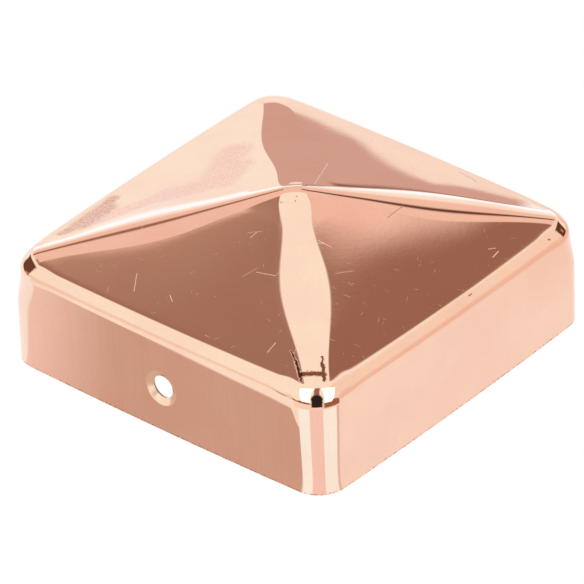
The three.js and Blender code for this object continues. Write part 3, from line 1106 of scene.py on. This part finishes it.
def edge_card(angle, softness, colour):
    """A card without end whose edge is seen in the front corner as an upright line. The metal
    there faces the given angle, in degrees from the camera, so it shows the ray on the floor
    that leaves the corner at twice that angle. The card lies to the right of that ray."""
    bend, reach = math.radians(angle), 400.0
    along = reach if angle > 0 else 0
    aside = FRONT_RADIUS * math.sin(bend) + reach * math.cos(2 * bend) + along * math.sin(2 * bend)
    towards = FRONT_RADIUS * math.cos(bend) - reach * math.sin(2 * bend) + along * math.cos(2 * bend)
    return (aside, towards, reach, reach + 3, -2 * angle, softness, 0, colour)


# the same from the front corner: millimetres to the right and towards the camera
CORNER_CARDS = {
    "left far": (-540, 0, 400, 900, 0, 100, 0, (0.97, 0.83, 0.76)),
    "left border": (-446, -436.9, 400, 400, 0, 1.5, 0, (1.02, 1.06, 1.12)),
    "left light": edge_card(-28, 1.0, (1.03, 1.2, 1.28)),
    "middle shade": edge_card(-11, 0.5, (0.98, 0.8, 0.81)),
    "right light": edge_card(9, 0.5, (1.03, 1.17, 1.25)),
    "thin shade": edge_card(30.5, 0.6, (0.85, 0.66, 0.64)),
    "right side": edge_card(35, 0.6, (1.0, 0.91, 0.91)),
    "right far": (475, 0, 400, 900, 0, 60, 0, (0.92, 0.66, 0.59)),
}
# the same in degrees round the front corner and millimetres from it
RING_CARDS = {
    "collar": (2, 533, 66, 500, 0, 1.0, 0, (1.0, 0.88, 0.86)),
    "left skirting": (-42, 2100, 26, 1950, 0, 8, 0, (0.3, 0.12, 0.08)),
    "right skirting": (42, 2038, 22, 2000, 0, 6, 0, (0.36, 0.15, 0.09)),
    "foot of the stand": (1, 2246, 14.5, 2200, 0, 5, 0, (0.03, 0.02, 0.02)),
}
print("cards seen in the front corner:", len(CORNER_CARDS) + len(RING_CARDS))


# %% The paper floor
def make_floor():
    """A large sheet of white paper. In the metal it is shaded, darker in front of the left skirt;
    from below it is clear, so that the inside of the cap can be looked at."""
    reach = 4.0
    low = -0.00004  # a hair below the rim, so that the two don't flicker
    mesh = bpy.data.meshes.new("paper")
    mesh.from_pydata(
        [(-reach, -reach, low), (reach, -reach, low), (reach, reach, low), (-reach, reach, low)],
        [],
        [(0, 1, 2, 3)],
    )
    floor = bpy.data.objects.new("paper", mesh)
    bpy.context.scene.collection.objects.link(floor)
    material = bpy.data.materials.new("white paper")
    material.use_nodes = True
    tree = material.node_tree
    tree.nodes.remove(tree.nodes["Principled BSDF"])
    output = tree.nodes["Material Output"]
    place = tree.nodes.new("ShaderNodeTexCoord")
    scale = tree.nodes.new("ShaderNodeVectorMath")
    scale.operation = "SCALE"
    scale.inputs["Scale"].default_value = 1000.0
    tree.links.new(place.outputs["Object"], scale.inputs[0])
    xyz = tree.nodes.new("ShaderNodeSeparateXYZ")
    tree.links.new(scale.outputs[0], xyz.inputs[0])
    shade = lay_cards(tree, xyz.outputs[0], xyz.outputs[1], FLOOR_TONE, FLOOR_CARDS)
    from_x = calc(tree, "SUBTRACT", xyz.outputs[0], FRONT_CORNER[0])
    from_y = calc(tree, "SUBTRACT", xyz.outputs[1], FRONT_CORNER[1])
    c, s = float(np.cos(SHOT_AZIMUTH)), float(np.sin(SHOT_AZIMUTH))
    aside = calc(tree, "ADD", calc(tree, "MULTIPLY", from_x, c), calc(tree, "MULTIPLY", from_y, s))
    towards = calc(
        tree, "SUBTRACT", calc(tree, "MULTIPLY", from_x, s), calc(tree, "MULTIPLY", from_y, c)
    )
    shade = lay_cards(tree, aside, towards, shade, CORNER_CARDS)
    turned = calc(tree, "DEGREES", calc(tree, "ARCTAN2", aside, towards))
    shade = lay_cards(tree, turned, length(tree, aside, towards), shade, RING_CARDS)
    path = tree.nodes.new("ShaderNodeLightPath")
    seen = blend(tree, path.outputs["Is Camera Ray"], shade, (1.0, 1.0, 1.0))
    glow = tree.nodes.new("ShaderNodeEmission")
    tree.links.new(seen, glow.inputs["Color"])
    clear = tree.nodes.new("ShaderNodeBsdfTransparent")
    side = tree.nodes.new("ShaderNodeNewGeometry")
    mix = tree.nodes.new("ShaderNodeMixShader")
    tree.links.new(side.outputs["Backfacing"], mix.inputs[0])
    tree.links.new(glow.outputs[0], mix.inputs[1])
    tree.links.new(clear.outputs[0], mix.inputs[2])
    tree.links.new(mix.outputs[0], output.inputs["Surface"])
    mesh.materials.append(material)
    return floor


paper = make_floor()
print("paper in metres:", np.round(np.array(paper.dimensions), 2).tolist())

# %% [markdown]
# ## The camera
# The cap was taken from above its front corner, with a long lens from over a metre away, so its
# sides hardly run together. The camera could be set by eye; here its direction, roll, distance
# and focal length are values that make the cap's outline fall where it does in the picture.

# %% The camera
FOCAL_IN_PIXELS, IMAGE_WIDTH = 6811.7, 584
SHOT_DISTANCE = 1.18931
AIM_HEIGHT = 0.012274
AIM_LEFT, AIM_DOWN = 0.000740, 0.002657  # in metres, from the middle of the picture
back = Vector(
    (
        np.sin(SHOT_AZIMUTH) * np.cos(SHOT_RISE),
        -np.cos(SHOT_AZIMUTH) * np.cos(SHOT_RISE),
        np.sin(SHOT_RISE),
    )
)
level = Vector((np.cos(SHOT_AZIMUTH), np.sin(SHOT_AZIMUTH), 0))
upright = back.cross(level)
across = level * math.cos(SHOT_ROLL) + upright * math.sin(SHOT_ROLL)
upward = upright * math.cos(SHOT_ROLL) - level * math.sin(SHOT_ROLL)
aim = Vector((0, 0, AIM_HEIGHT)) - AIM_LEFT * across - AIM_DOWN * upward
shot = bpy.data.cameras.new("shot")
shot.sensor_width = 36.0
shot.lens = 36.0 * FOCAL_IN_PIXELS / IMAGE_WIDTH
camera = bpy.data.objects.new("shot", shot)
place = Matrix((across, upward, back)).transposed().to_4x4()
place.translation = aim + SHOT_DISTANCE * back
camera.matrix_world = place
bpy.context.scene.collection.objects.link(camera)
bpy.context.scene.camera = camera
bpy.context.scene.view_settings.view_transform = "Standard"
print("lens:", round(shot.lens, 1))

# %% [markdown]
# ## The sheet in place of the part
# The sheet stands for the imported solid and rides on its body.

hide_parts("post_cap")
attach(cap, "root")
